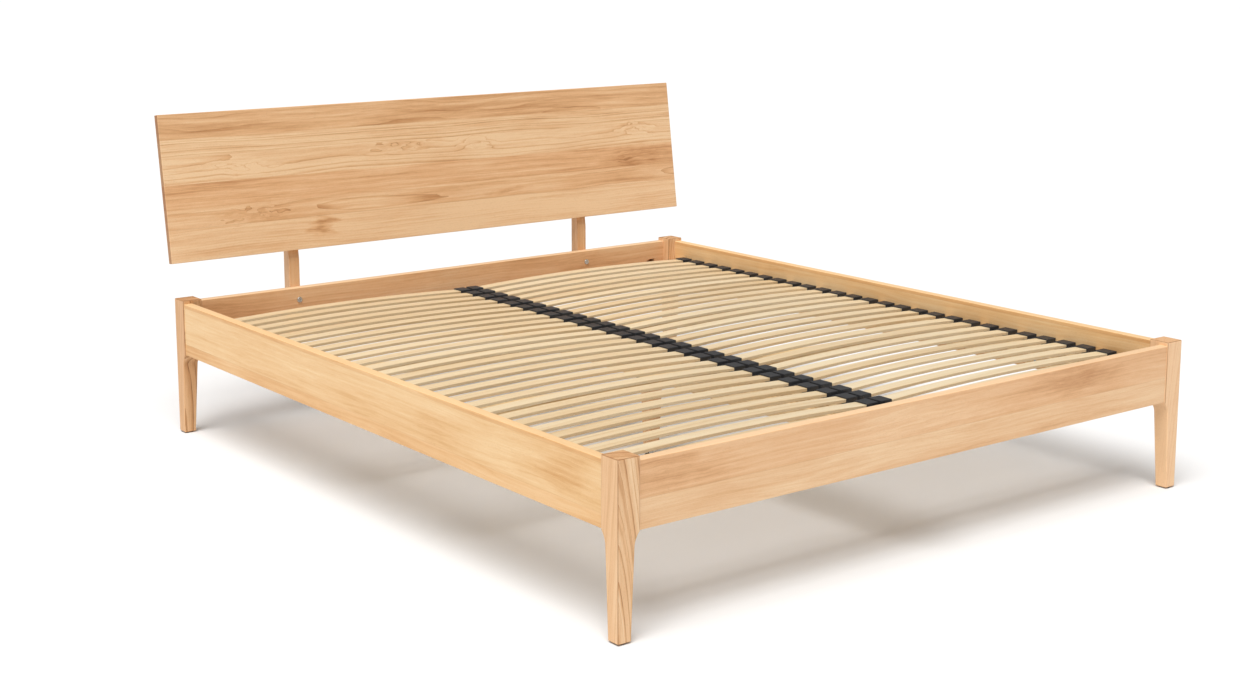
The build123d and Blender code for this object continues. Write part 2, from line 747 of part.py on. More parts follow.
def frame_nodes():
    """Every node of the fixed frame."""
    nodes, leg_cuts, rail_cuts = joint_nodes()

    for corner in CORNERS:
        nodes[f"{corner}_leg"] = cut(moved_to_corner(corner_place * leg(), corner), leg_cuts[corner])
        nodes[f"{corner}_glide"] = moved_to_corner(corner_place * felt_glide(), corner)

    ledge_screws = [wood_screw(place, (-1, 0, 0), ledge_screw_length) for place in ledge_screw_places()]
    ledge_holes = [screw_hole(place, (-1, 0, 0), ledge_screw_length) for place in ledge_screw_places()]
    side_cuts = rail_cuts["side"]["foot_left"] + rail_cuts["side"]["head_left"] + ledge_holes
    for side, piece in both_sides(cut(left_side_rail_blank(), side_cuts)).items():
        nodes[f"{side}_side_rail"] = piece
    for side, piece in both_sides(cut(ledge(), ledge_holes)).items():
        nodes[f"{side}_ledge"] = piece
    nodes["ledge_screws"] = group(
        piece for screw in ledge_screws for piece in both_sides(screw).values()
    )

    support_holes = [support_bolt_hole(point) for point in support_bolt_points()]
    shoe_holes = [screw_hole(place, (0, -1, 0), plate_screw_length) for place in shoe_screw_places()]
    shoe_screws = [wood_screw(place, (0, -1, 0), plate_screw_length) for place in shoe_screw_places()]
    foot_cuts = rail_cuts["end"]["foot_left"] + rail_cuts["end"]["foot_right"] + shoe_holes
    nodes["foot_rail"] = cut(foot_rail_blank(), foot_cuts)
    head_cuts = rail_cuts["end"]["head_left"] + rail_cuts["end"]["head_right"]
    head_cuts += [mirror(hole, about=Plane.XZ) for hole in shoe_holes]
    head_cuts += [piece for hole in support_holes for piece in both_sides(hole).values()]
    nodes["head_rail"] = cut(mirror(foot_rail_blank(), about=Plane.XZ), head_cuts)

    nodes["foot_beam_shoe"] = cut(shoe(), shoe_holes)
    nodes["head_beam_shoe"] = mirror(nodes["foot_beam_shoe"], about=Plane.XZ)
    nodes["beam_shoe_screws"] = group(
        shoe_screws + [mirror(screw, about=Plane.XZ) for screw in shoe_screws]
    )

    screw_places = headboard_screw_places()
    panel_holes = [screw_hole(place, HEADBOARD_INWARDS, headboard_screw_length) for place in screw_places]
    panel_screws = [wood_screw(place, HEADBOARD_INWARDS, headboard_screw_length) for place in screw_places]
    both_panel_holes = [piece for hole in panel_holes for piece in both_sides(hole).values()]
    nodes["headboard"] = cut(headboard(), both_panel_holes)
    support = cut(headboard_support(), support_holes + panel_holes)
    for side, piece in both_sides(support).items():
        nodes[f"{side}_headboard_support"] = piece
    bolts = [support_bolt(point) for point in support_bolt_points()]
    sleeves = [support_sleeve_nut(point) for point in support_bolt_points()]
    nodes["headboard_screws"] = group(
        piece for screw in panel_screws for piece in both_sides(screw).values()
    )
    nodes["support_bolts"] = group(piece for bolt in bolts for piece in both_sides(bolt).values())
    nodes["support_sleeve_nuts"] = group(
        piece for sleeve in sleeves for piece in both_sides(sleeve).values()
    )

    plate_places = centre_plate_screw_places()
    plate_holes = [screw_hole(place, UP, plate_screw_length) for place in plate_places]
    spindle_bore = rod(insert_radius, (0, 0, centre_leg_bottom), UP, spindle_top)
    nodes["centre_beam"] = cut(beam(), plate_holes + [centre_stud()])
    nodes["centre_leg"] = cut(centre_leg(), [spindle_bore, centre_stud()])
    nodes["centre_leg_plate"] = cut(centre_plate(), plate_holes + [centre_stud()])
    nodes["centre_leg_stud"] = centre_stud()
    nodes["centre_leg_plate_screws"] = group(
        wood_screw(place, UP, plate_screw_length) for place in plate_places
    )
    nodes["centre_leg_insert"] = centre_insert()
    nodes["levelling_spindle"] = spindle()
    nodes["levelling_glide"] = glide()
    nodes["levelling_glide_felt"] = glide_felt()
    return nodes


def bed_nodes():
    """Every node of the bed, moved so that the origin is under the middle of its box."""
    nodes = frame_nodes()
    for name, piece in left_base().items():
        nodes[f"left_base_{name}"] = piece
        nodes[f"right_base_{name}"] = mirror(piece, about=Plane.YZ)
    boxes = [piece.bounding_box() for piece in nodes.values()]
    middle_y = (min(box.min.Y for box in boxes) + max(box.max.Y for box in boxes)) / 2
    return {name: Pos(0, -middle_y, 0) * piece for name, piece in nodes.items()}


def main():
    os.makedirs("parts", exist_ok=True)
    for name, piece in bed_nodes().items():
        export_step(piece, f"parts/{name}.step")


main()
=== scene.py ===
"""The looks of a solid wood double bed frame: materials, felt glides, floor, light and camera.

Metres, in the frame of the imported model: +X to the right seen from the foot end, +Y towards the
headboard, +Z up.
"""
import math
from collections import namedtuple

import bmesh
import bpy
from mathutils import Euler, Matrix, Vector


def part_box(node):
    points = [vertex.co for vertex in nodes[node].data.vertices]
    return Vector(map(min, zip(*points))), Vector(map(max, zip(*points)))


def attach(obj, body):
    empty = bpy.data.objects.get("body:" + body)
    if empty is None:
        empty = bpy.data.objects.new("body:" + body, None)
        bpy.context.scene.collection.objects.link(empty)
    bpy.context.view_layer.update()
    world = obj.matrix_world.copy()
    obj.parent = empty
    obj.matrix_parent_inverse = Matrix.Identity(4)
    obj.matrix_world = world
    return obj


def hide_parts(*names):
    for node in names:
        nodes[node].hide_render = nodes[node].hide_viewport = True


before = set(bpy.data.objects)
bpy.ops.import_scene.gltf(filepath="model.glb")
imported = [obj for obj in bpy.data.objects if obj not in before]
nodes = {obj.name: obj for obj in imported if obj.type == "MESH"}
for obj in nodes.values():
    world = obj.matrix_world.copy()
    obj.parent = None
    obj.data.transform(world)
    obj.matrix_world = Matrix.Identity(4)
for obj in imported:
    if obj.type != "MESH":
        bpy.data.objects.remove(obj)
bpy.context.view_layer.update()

X, Y, Z = 0, 1, 2

# The headboard leans back about its lower front edge.
HEADBOARD_LEAN = math.radians(8.1)
HEADBOARD_SIZE = (1.883, 0.432, 0.020)

# Slatted bases: the slats lie in pairs, close to one even pitch.
SLAT_PITCH = 0.069
SLAT_WIDTH = 0.038
SLAT_THICKNESS = 0.008
SLAT_CAMBER = 0.012
SLAT_PLIES = 6
SLAT_ROUNDING = 0.0012


# ---------------------------------------------------------------- colours and node trees
def paint(red, green, blue):
    """A linear colour from display values of 0 to 255."""
    def linear(value):
        share = value / 255
        return share / 12.92 if share <= 0.04045 else ((share + 0.055) / 1.055) ** 2.4
    return (linear(red), linear(green), linear(blue), 1.0)


def grey(value):
    return (value, value, value, 1.0)


class Tree:
    """A node tree with short calls: each adds one node and returns its output."""

    def __init__(self, tree):
        self.tree = tree

    def add(self, kind, inputs=(), output=0, **settings):
        """One shader node with its inputs fed and its settings set. Returns one of its outputs."""
        node = self.tree.nodes.new("ShaderNode" + kind)
        for name, value in settings.items():
            setattr(node, name, value)
        for key, value in dict(inputs).items():
            self.feed(node.inputs[key], value)
        return node.outputs[output]

    def feed(self, socket, value):
        if isinstance(value, bpy.types.NodeSocket):
            self.tree.links.new(value, socket)
        else:
            socket.default_value = value

    def math(self, operation, *values, clamp=False):
        return self.add("Math", enumerate(values), operation=operation, use_clamp=clamp)

    def plus(self, a, b):
        return self.math("ADD", a, b)

    def minus(self, a, b):
        return self.math("SUBTRACT", a, b)

    def times(self, a, b):
        return self.math("MULTIPLY", a, b)

    def vector(self, operation, *values):
        node = self.tree.nodes.new("ShaderNodeVectorMath")
        node.operation = operation
        for socket, value in zip(node.inputs, values):
            self.feed(socket, value)
        return node.outputs["Value" if operation in ("LENGTH", "DOT_PRODUCT") else "Vector"]

    def scaled(self, vector, factor):
        node = self.tree.nodes.new("ShaderNodeVectorMath")
        node.operation = "SCALE"
        self.feed(node.inputs[0], vector)
        self.feed(node.inputs["Scale"], factor)
        return node.outputs[0]

    def split(self, vector):
        node = self.tree.nodes.new("ShaderNodeSeparateXYZ")
        self.feed(node.inputs[0], vector)
        return node.outputs[0], node.outputs[1], node.outputs[2]

    def join(self, x, y, z):
        return self.add("CombineXYZ", {"X": x, "Y": y, "Z": z})

    def noise(self, vector, scale=1.0, detail=2.0, roughness=0.5, output="Fac"):
        inputs = {"Vector": vector, "Scale": scale, "Detail": detail, "Roughness": roughness}
        return self.add("TexNoise", inputs, output)

    def centred_noise(self, vector, detail):
        """Coloured noise as a vector whose parts lie about 0."""
        return self.vector("SUBTRACT", self.noise(vector, detail=detail, output="Color"), (0.5, 0.5, 0.5))

    def line_noise(self, value, detail, roughness):
        """Noise along one number."""
        node = self.tree.nodes.new("ShaderNodeTexNoise")
        node.noise_dimensions = "1D"
        self.feed(node.inputs["W"], value)
        node.inputs["Scale"].default_value = 1.0
        node.inputs["Detail"].default_value = detail
        node.inputs["Roughness"].default_value = roughness
        return node.outputs["Fac"]

    def rise(self, value, low, high, out_low=0.0, out_high=1.0):
        """A smooth step of value from low to high."""
        inputs = {"Value": value, "From Min": low, "From Max": high, "To Min": out_low, "To Max": out_high}
        return self.add("MapRange", inputs, interpolation_type="SMOOTHSTEP")

    def mix(self, factor, a, b, blend="MIX"):
        node = self.tree.nodes.new("ShaderNodeMix")
        node.data_type = "RGBA"
        node.blend_type = blend
        node.clamp_factor = True
        self.feed(node.inputs["Factor"], factor)
        self.feed(node.inputs[6], a)
        self.feed(node.inputs[7], b)
        return node.outputs[2]

    def ramp(self, factor, stops, interpolation="LINEAR"):
        """A colour ramp through (position, colour) stops."""
        node = self.tree.nodes.new("ShaderNodeValToRGB")
        elements = node.color_ramp.elements
        node.color_ramp.interpolation = interpolation
        elements[1].position = 1.0
        elements[1].color = stops[-1][1]
        elements[0].position = stops[0][0]
        elements[0].color = stops[0][1]
        for position, colour in stops[1:-1]:
            elements.new(position).color = colour
        elements[len(elements) - 1].position = stops[-1][0]
        self.feed(node.inputs[0], factor)
        return node.outputs[0]

    def bump(self, height, distance, strength):
        return self.add("Bump", {"Height": height, "Distance": distance, "Strength": strength})

    def object_place(self):
        return self.add("TexCoord", output="Object")

    def object_normal(self):
        return self.add("TexCoord", output="Normal")


def surface(name, metallic=0.0, specular=0.5, coat=0.0, coat_roughness=0.3, sheen=0.0):
    """A new material. Returns it, its tree and its Principled node with the constants set."""
    material = bpy.data.materials.new(name)
    material.use_nodes = True
    shader = material.node_tree.nodes["Principled BSDF"]
    shader.inputs["Metallic"].default_value = metallic
    shader.inputs["Specular IOR Level"].default_value = specular
    shader.inputs["Coat Weight"].default_value = coat
    shader.inputs["Coat Roughness"].default_value = coat_roughness
    shader.inputs["Sheen Weight"].default_value = sheen
    return material, Tree(material.node_tree), shader


def connect(tree, shader, colour, roughness, normal):
    tree.feed(shader.inputs["Base Color"], colour)
    tree.feed(shader.inputs["Roughness"], roughness)
    tree.feed(shader.inputs["Normal"], normal)


def wear(piece, material):
    """Gives a piece one material in place of those it has."""
    piece.data.materials.clear()
    piece.data.materials.append(material)


# ---------------------------------------------------------------- wood
# Board coordinates: X along the grain, Y across the wide face, Z through the thickness, in metres
# from a corner of the board.
Board = namedtuple("Board", "origin axes size lean")

# One stave of a board that is glued up of several. start is where it begins, as a share of the
# width. tone, red, seed and figure lie between 0 and 1. pith is where the middle of the tree lies,
# across and through the board from its corner, in metres and at most PITH_REACH away: far to the
# side it gives straight lines, and straight behind the stave it gives arched ones.
Stave = namedtuple("Stave", "start tone red seed figure pith")
PITH_REACH = 0.60

# How a board's edges differ in colour: strength from 0 to 1, a band that fades from inner to outer
# metres away from the edge, and gaps, below 0 for none.
Edge = namedtuple("Edge", "colour strength inner outer gaps", defaults=(0.0, 0.0032, 0.25))

# End grain takes up more oil and is darker. The headboard's ends are the darkest: their tint adds painted
# shade to the end grain.
END_TINT = paint(229, 218, 206)
HEADBOARD_END_TINT_AND_SHADE = paint(191, 173, 158)

# A disturbed spot in the grain, such as a knot: bend lays the grain round it, stir makes it run
# wild, and dark (or, below 0, light) tints it.
Eye = namedtuple("Eye", "place reach bend stir dark")


def board_of(node, along, across):
    """The board that fills a node's box."""
    low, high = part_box(node)
    depth = 3 - along - across
    axes = (along, across, depth)
    return Board(tuple(low), axes, tuple((high - low)[axis] for axis in axes), 0.0)


def headboard_board():
    """The headboard turned upright about its lower front edge."""
    low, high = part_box("headboard")
    top_rear = HEADBOARD_SIZE[1] * math.cos(HEADBOARD_LEAN)
    length, width, thickness = HEADBOARD_SIZE
    front_y = high.y - width * math.sin(HEADBOARD_LEAN) - thickness * math.cos(HEADBOARD_LEAN)
    front_z = high.z - top_rear
    return Board((low.x, front_y, front_z), (X, Y, Z), (length, width, thickness), HEADBOARD_LEAN)


def board_place(tree, board):
    """(board coordinates, how much the surface faces along the grain, and how much across it)."""
    place = tree.object_place()
    normal = tree.split(tree.object_normal())
    if board.lean:
        place = tree.add(
            "VectorRotate",
            {"Vector": place, "Center": board.origin, "Angle": board.lean},
            rotation_type="X_AXIS",
        )
        axes = (X, Z, Y)
    else:
        axes = board.axes
    parts = tree.split(tree.vector("SUBTRACT", place, board.origin))
    end_grain, side_grain = (tree.math("ABSOLUTE", normal[axis]) for axis in axes[:2])
    return tree.join(*(parts[axis] for axis in axes)), end_grain, side_grain


# How fine each part of the grain is, per metre along the grain, across it and through it.
BENDS = (1.5, 4.0, 4.0)
WAVES = (7.0, 36.0, 36.0)
STREAKS = (2.6, 85.0, 85.0)
FIBRES = (26.0, 270.0, 270.0)
FLECKS = (230.0, 1500.0, 1500.0)
CLOUDS = (1.7, 7.0, 7.0)
SWIRLS = (13.0, 42.0, 42.0)

WAVE_SHARE = 0.10           # the waves' height, as a share of the bends'
SEED_SHIFT = (7.31, 3.17, 1.73)
SEED_SPREAD = 40.0          # seeds of 0 to 1 are spread this far apart in the noise


def timber_group():
    """The grain of a tree trunk, read at board coordinates. Rings, Streaks, Fibre and Clouds lie
    about 0.5; Lines and Flecks run from 0 to 1."""
    group = bpy.data.node_groups.new("timber", "ShaderNodeTree")
    sockets = (("Place", "Vector"), ("Seed", "Float"), ("Pith Across", "Float"), ("Pith Depth", "Float"),
               ("Wander", "Float"), ("Ring Width", "Float"))
    for name, kind in sockets:
        group.interface.new_socket(name, in_out="INPUT", socket_type="NodeSocket" + kind)
    for name in ("Rings", "Lines", "Streaks", "Fibre", "Flecks", "Clouds"):
        group.interface.new_socket(name, in_out="OUTPUT", socket_type="NodeSocketFloat")
    tree = Tree(group)
    given = group.nodes.new("NodeGroupInput").outputs
    result = group.nodes.new("NodeGroupOutput").inputs

    shift = tree.scaled(SEED_SHIFT, given["Seed"])
    spot = tree.vector("ADD", given["Place"], shift)

    # The trunk's own bends, then the small waves of the fibres.
    bends = tree.centred_noise(tree.vector("MULTIPLY", spot, BENDS), detail=1.0)
    bends = tree.scaled(bends, given["Wander"])
    waves = tree.centred_noise(tree.vector("MULTIPLY", spot, WAVES), detail=2.0)
    waves = tree.scaled(waves, tree.times(given["Wander"], WAVE_SHARE))
    bent = tree.vector("ADD", given["Place"], tree.vector("ADD", bends, waves))
    _, across, depth = tree.split(bent)
    across = tree.minus(across, given["Pith Across"])
    depth = tree.minus(depth, given["Pith Depth"])
    radius = tree.math("SQRT", tree.plus(tree.times(across, across), tree.times(depth, depth)))

    # Years grow in groups of wide and narrow rings, and each ends in a dark line of late wood.
    age = tree.math("DIVIDE", radius, given["Ring Width"])
    age = tree.plus(age, tree.times(given["Seed"], 17.0))
    seasons = tree.line_noise(tree.times(age, 0.55), detail=2.0, roughness=0.65)
    ring_share = tree.math("FRACT", tree.plus(age, tree.times(seasons, 1.6)))
    late_wood = tree.math("POWER", ring_share, 4.0)
    tree.feed(result["Rings"], seasons)
    tree.feed(result["Lines"], late_wood)

    followed = tree.vector("ADD", tree.vector("ADD", spot, bends), tree.scaled(waves, 1.5))
    for name, fineness in (("Streaks", STREAKS), ("Fibre", FIBRES)):
        drawn_out = tree.vector("MULTIPLY", followed, fineness)
        tree.feed(result[name], tree.noise(drawn_out, detail=4.0, roughness=0.66))
    flecks = tree.noise(tree.vector("MULTIPLY", spot, FLECKS), detail=0.0)
    tree.feed(result["Flecks"], tree.rise(flecks, 0.62, 0.80))
    clouds = tree.noise(tree.vector("MULTIPLY", spot, CLOUDS), detail=2.5, roughness=0.55)
    tree.feed(result["Clouds"], clouds)
    return group


TIMBER = timber_group()


def timber(tree, place, seed, pith, wander, ring_width):
    """The outputs of the timber group at a place in a tree."""
    node = tree.tree.nodes.new("ShaderNodeGroup")
    node.node_tree = TIMBER
    given = {"Place": place, "Seed": tree.times(seed, SEED_SPREAD), "Pith Across": pith[0],
             "Pith Depth": pith[1], "Wander": wander, "Ring Width": ring_width}
    for key, value in given.items():
        tree.feed(node.inputs[key], value)
    return node.outputs


Palette = namedtuple("Palette", "light middle dark deep")
HONEY = Palette(paint(240, 206, 164), paint(226, 181, 134), paint(196, 145, 96), paint(140, 94, 56))
STRAW = Palette(paint(241, 207, 158), paint(230, 187, 132), paint(212, 158, 97), paint(158, 108, 62))
SOFTWOOD = Palette(paint(232, 206, 160), paint(220, 188, 138), paint(192, 148, 94), paint(150, 104, 58))
BIRCH = Palette(paint(228, 208, 172), paint(217, 190, 148), paint(196, 164, 118), paint(150, 116, 76))

# How strongly each part of the grain darkens the wood.
Grain = namedtuple("Grain", "rings lines streaks fibre clouds")
LEG = Grain(rings=1.15, lines=0.46, streaks=0.60, fibre=0.28, clouds=0.30)
CALM = Grain(rings=0.40, lines=0.14, streaks=0.80, fibre=0.28, clouds=0.80)
LIVELY = Grain(rings=0.66, lines=0.52, streaks=1.15, fibre=0.30, clouds=0.60)
RINGED = Grain(rings=0.35, lines=0.42, streaks=0.45, fibre=0.20, clouds=0.35)

SHADE_STOPS = (0.12, 0.48, 0.80, 1.0)   # the shades at which a palette's four colours lie
RED_WOOD = paint(255, 216, 190)
RED_STRENGTH = 0.40                     # of a stave whose red is 1
GLUE_WIDTH = 0.0010
GRAIN_RELIEF = 0.00022


def stave_values(tree, place, board, staves):
    """(tone, red, seed, figure, pith across, pith depth) of the stave that holds a point."""
    if len(staves) == 1:
        return (*staves[0][1:5], *staves[0].pith)
    share = tree.math("DIVIDE", tree.split(place)[1], board.size[1], clamp=True)
    looks = [(stave.start, (stave.tone, stave.red, stave.seed, 1.0)) for stave in staves]
    piths = [[(away / PITH_REACH + 1) / 2 for away in stave.pith] for stave in staves]
    grains = [(stave.start, (*pith, stave.figure, 1.0)) for stave, pith in zip(staves, piths)]
    tone, red, seed = tree.split(tree.ramp(share, looks, "CONSTANT"))
    pith_across, pith_depth, figure = tree.split(tree.ramp(share, grains, "CONSTANT"))
    pith_across = tree.times(tree.minus(pith_across, 0.5), 2 * PITH_REACH)
    pith_depth = tree.times(tree.minus(pith_depth, 0.5), 2 * PITH_REACH)
    return tone, red, seed, figure, pith_across, pith_depth


def glue_lines(tree, place, board, staves):
    """1 on the fine joints between staves."""
    share = tree.math("DIVIDE", tree.split(place)[1], board.size[1], clamp=True)
    half = GLUE_WIDTH / 2 / board.size[1]
    none, full = grey(0.0), grey(1.0)
    stops = [(0.0, none)]
    for stave in staves[1:]:
        stops += [(stave.start - half, none), (stave.start, full), (stave.start + half, none)]
    stops.append((1.0, none))
    return tree.ramp(share, stops)


def eye_strength(tree, place, eye):
    """1 in the middle of an eye, falling off to 0 at its reach."""
    away = tree.vector("SUBTRACT", place, (*eye.place, 0.0))
    away = tree.vector("DIVIDE", away, (*eye.reach, 1.0))
    return tree.rise(tree.vector("LENGTH", away), 0.0, 1.0, 1.0, 0.0)


def edge_distance(tree, place, board):
    """How far a point on the board's surface is from the nearest edge."""
    near = tree.vector("MINIMUM", place, tree.vector("SUBTRACT", board.size, place))
    a, b, c = tree.split(near)
    lower = tree.math("MINIMUM", a, b)
    upper = tree.math("MAXIMUM", a, b)
    return tree.math("MAXIMUM", lower, tree.math("MINIMUM", upper, c))


def disturbed(tree, place, eyes):
    """(place with the grain bent about the eyes, how much darker the eyes make it)."""
    swirl = tree.centred_noise(tree.vector("MULTIPLY", place, SWIRLS), detail=2.0)
    ragged = tree.vector("ADD", place, tree.vector("MULTIPLY", swirl, (0.16, 0.06, 0.0)))
    bend, stir, dark = 0.0, 0.0, 0.0
    for eye in eyes:
        strength = eye_strength(tree, ragged, eye)
        bend = tree.plus(bend, tree.times(strength, eye.bend))
        stir = tree.plus(stir, tree.times(strength, eye.stir))
        dark = tree.plus(dark, tree.times(strength, eye.dark))
    bent = tree.vector("ADD", place, tree.join(0.0, 0.0, bend))
    return tree.vector("ADD", bent, tree.scaled(swirl, stir)), dark


def worn_and_shaded_edge(tree, place, board, edge):
    """1 on the board's edges, broken up by noise: rubbed wear where the edges are paler, and on the legs'
    dark corner line partly painted shade.
    """
    near = tree.rise(edge_distance(tree, place, board), edge.inner, edge.outer, 1.0, 0.0)
    patches = tree.noise(place, 55.0, 3.0, 0.6)
    return tree.times(near, tree.rise(patches, edge.gaps, edge.gaps + 0.5))


def wood(name, board, palette, grain, staves, wander=0.03, ring_width=0.0032, slope=0.0,
         plain_sides=0.0, painted_highlight_sides=0.0, eyes=(), edge=None, end_tint_and_shade=END_TINT, roughness=0.46):
    """A satin, oiled wood with the grain running along the board. slope is how steeply the tree's
    axis runs through the board's thickness, plain_sides how much calmer the side faces are, and
    painted_highlight_sides how much paler the side faces are painted: a painted highlight, which on the
    rails lies on their top and bottom faces."""
    material, tree, shader = surface(name, specular=0.42)
    place, end_grain, side_grain = board_place(tree, board)
    tone, red, seed, figure, pith_across, pith_depth = stave_values(tree, place, board, staves)
    if plain_sides:
        figure = tree.times(figure, tree.rise(side_grain, 0.3, 0.9, 1.0, 1.0 - plain_sides))

    grain_place = place
    if slope:
        along = tree.split(place)[0]
        grain_place = tree.vector("ADD", grain_place, tree.join(0.0, 0.0, tree.times(along, slope)))
    if eyes:
        grain_place, darker = disturbed(tree, grain_place, eyes)
        tone = tree.plus(tone, darker)

    parts = timber(tree, grain_place, seed, (pith_across, pith_depth), wander, ring_width)
    shade = tone
    for key, amount in (("Streaks", grain.streaks), ("Fibre", grain.fibre), ("Clouds", grain.clouds)):
        shade = tree.plus(shade, tree.times(tree.minus(parts[key], 0.5), amount))
    growth = tree.times(tree.minus(parts["Rings"], 0.5), grain.rings)
    growth = tree.plus(growth, tree.times(parts["Lines"], grain.lines))
    shade = tree.plus(shade, tree.times(growth, figure))
    colour = tree.ramp(shade, list(zip(SHADE_STOPS, palette)))
    colour = tree.mix(tree.times(red, RED_STRENGTH), colour, RED_WOOD, "MULTIPLY")
    colour = tree.mix(tree.times(parts["Flecks"], 0.22), colour, palette.deep)
    if len(staves) > 1:
        colour = tree.mix(tree.times(glue_lines(tree, place, board, staves), 0.35), colour, palette.deep)
    # Painted highlight: side faces painted paler, on the rails their top and bottom faces.
    if painted_highlight_sides:
        sides = tree.rise(side_grain, 0.5, 0.9)
        colour = tree.mix(tree.times(sides, painted_highlight_sides), colour, palette.light)
    ends = tree.rise(end_grain, 0.5, 0.9)
    # End faces take the end-grain tint; on the headboard the tint also holds painted shade.
    colour = tree.mix(ends, colour, end_tint_and_shade, "MULTIPLY")

    # Edge colour: paler wear by default; on the legs a dark line that is partly painted shade.
    edge = edge or Edge(palette.light, 0.35)
    rubbed = worn_and_shaded_edge(tree, place, board, edge)
    colour = tree.mix(tree.times(rubbed, edge.strength), colour, edge.colour)

    rough = tree.plus(roughness, tree.times(tree.minus(parts["Streaks"], 0.5), 0.16))
    rough = tree.plus(rough, tree.times(tree.minus(parts["Fibre"], 0.5), 0.14))
    rough = tree.plus(rough, tree.times(ends, 0.15))
    rough = tree.plus(rough, tree.times(rubbed, -0.06))

    height = tree.plus(tree.times(parts["Fibre"], 0.8), tree.times(parts["Lines"], 0.35))
    height = tree.minus(height, tree.times(parts["Flecks"], 0.5))
    connect(tree, shader, colour, rough, tree.bump(height, GRAIN_RELIEF, 0.6))
    return material


# The headboard's staves from its lower edge up.
HEADBOARD_STAVES = (
    Stave(0.000, 0.20, 0.30, 0.13, 0.35, (-0.25, -0.15)),
    Stave(0.222, 0.30, 0.35, 0.57, 0.80, (0.12, -0.06)),
    Stave(0.357, 0.43, 0.50, 0.31, 0.30, (-0.30, -0.20)),
    Stave(0.522, 0.20, 0.15, 0.83, 0.85, (0.30, -0.10)),
    Stave(0.702, 0.24, 0.05, 0.49, 1.00, (0.54, -0.26)),
    Stave(0.826, 0.51, 0.20, 0.71, 0.40, (0.34, -0.25)),
)
HEADBOARD_EYES = (
    Eye((0.50, 0.062), (0.062, 0.036), 0.004, 0.025, 0.55),     # the shadow of a knot, lowest stave
    Eye((0.29, 0.122), (0.230, 0.032), 0.000, 0.042, 0.15),     # wild ripples
    Eye((1.19, 0.116), (0.090, 0.012), 0.000, 0.010, 0.26),     # a short dark streak
    Eye((1.72, 0.195), (0.260, 0.044), 0.000, 0.025, 0.34),     # a dark patch near the right end
    Eye((1.50, 0.055), (0.480, 0.060), 0.000, 0.010, -0.14),
    Eye((0.26, 0.262), (0.200, 0.036), 0.000, 0.032, -0.14),    # pale curls
    Eye((0.78, 0.285), (0.170, 0.030), 0.000, 0.030, 0.10),
    Eye((1.08, 0.276), (0.100, 0.028), 0.009, 0.018, 0.10),     # a curl round a small knot
    Eye((1.72, 0.280), (0.110, 0.030), 0.006, 0.025, -0.08),
)
SIDE_RAIL_STAVES = (
    Stave(0.00, 0.50, 0.35, 0.22, 0.40, (0.30, -0.30)),
    Stave(0.22, 0.36, 0.05, 0.64, 0.45, (-0.10, -0.25)),
    Stave(0.93, 0.58, 0.25, 0.91, 0.30, (0.30, -0.30)),
)
# Soft darker and paler patches, measured from the foot end of a side rail or the left end of an end rail.
SIDE_RAIL_PATCHES = (
    Eye((0.13, 0.085), (0.130, 0.070), 0.0, 0.01, 0.16),
    Eye((0.37, 0.095), (0.190, 0.070), 0.0, 0.01, -0.18),
    Eye((0.64, 0.080), (0.170, 0.065), 0.0, 0.01, 0.14),
    Eye((1.30, 0.100), (0.300, 0.050), 0.0, 0.01, -0.12),
)
END_RAIL_STAVES = (
    Stave(0.00, 0.28, 0.20, 0.41, 0.60, (-0.15, -0.15)),
    Stave(0.44, 0.42, 0.45, 0.77, 0.60, (0.35, -0.15)),
)
END_RAIL_PATCHES = (
    Eye((0.10, 0.115), (0.260, 0.050), 0.0, 0.01, 0.22),
    Eye((0.85, 0.090), (0.420, 0.080), 0.0, 0.01, -0.20),
    Eye((1.42, 0.110), (0.260, 0.045), 0.0, 0.01, 0.18),
)

# A thin dark line runs down the legs' outer corners: partly a glue line, partly painted shade along the
# corner.
LEG_CORNER_LINE_AND_SHADE = Edge(HONEY.deep, 0.85, 0.0006, 0.0024, -0.2)
LEG_STAVES = {
    "foot_left_leg": Stave(0.0, 0.42, 0.10, 0.11, 1.0, (-0.02, -0.05)),
    "foot_right_leg": Stave(0.0, 0.10, 0.60, 0.52, 0.5, (0.10, -0.06)),
    "head_left_leg": Stave(0.0, 0.60, 0.10, 0.34, 0.8, (-0.02, -0.08)),
    "head_right_leg": Stave(0.0, 0.40, 0.25, 0.75, 0.9, (0.08, -0.05)),
}


def reseeded(staves, shift):
    """The same staves cut from other trees."""
    return tuple(stave._replace(seed=(stave.seed + shift) % 1.0) for stave in staves)


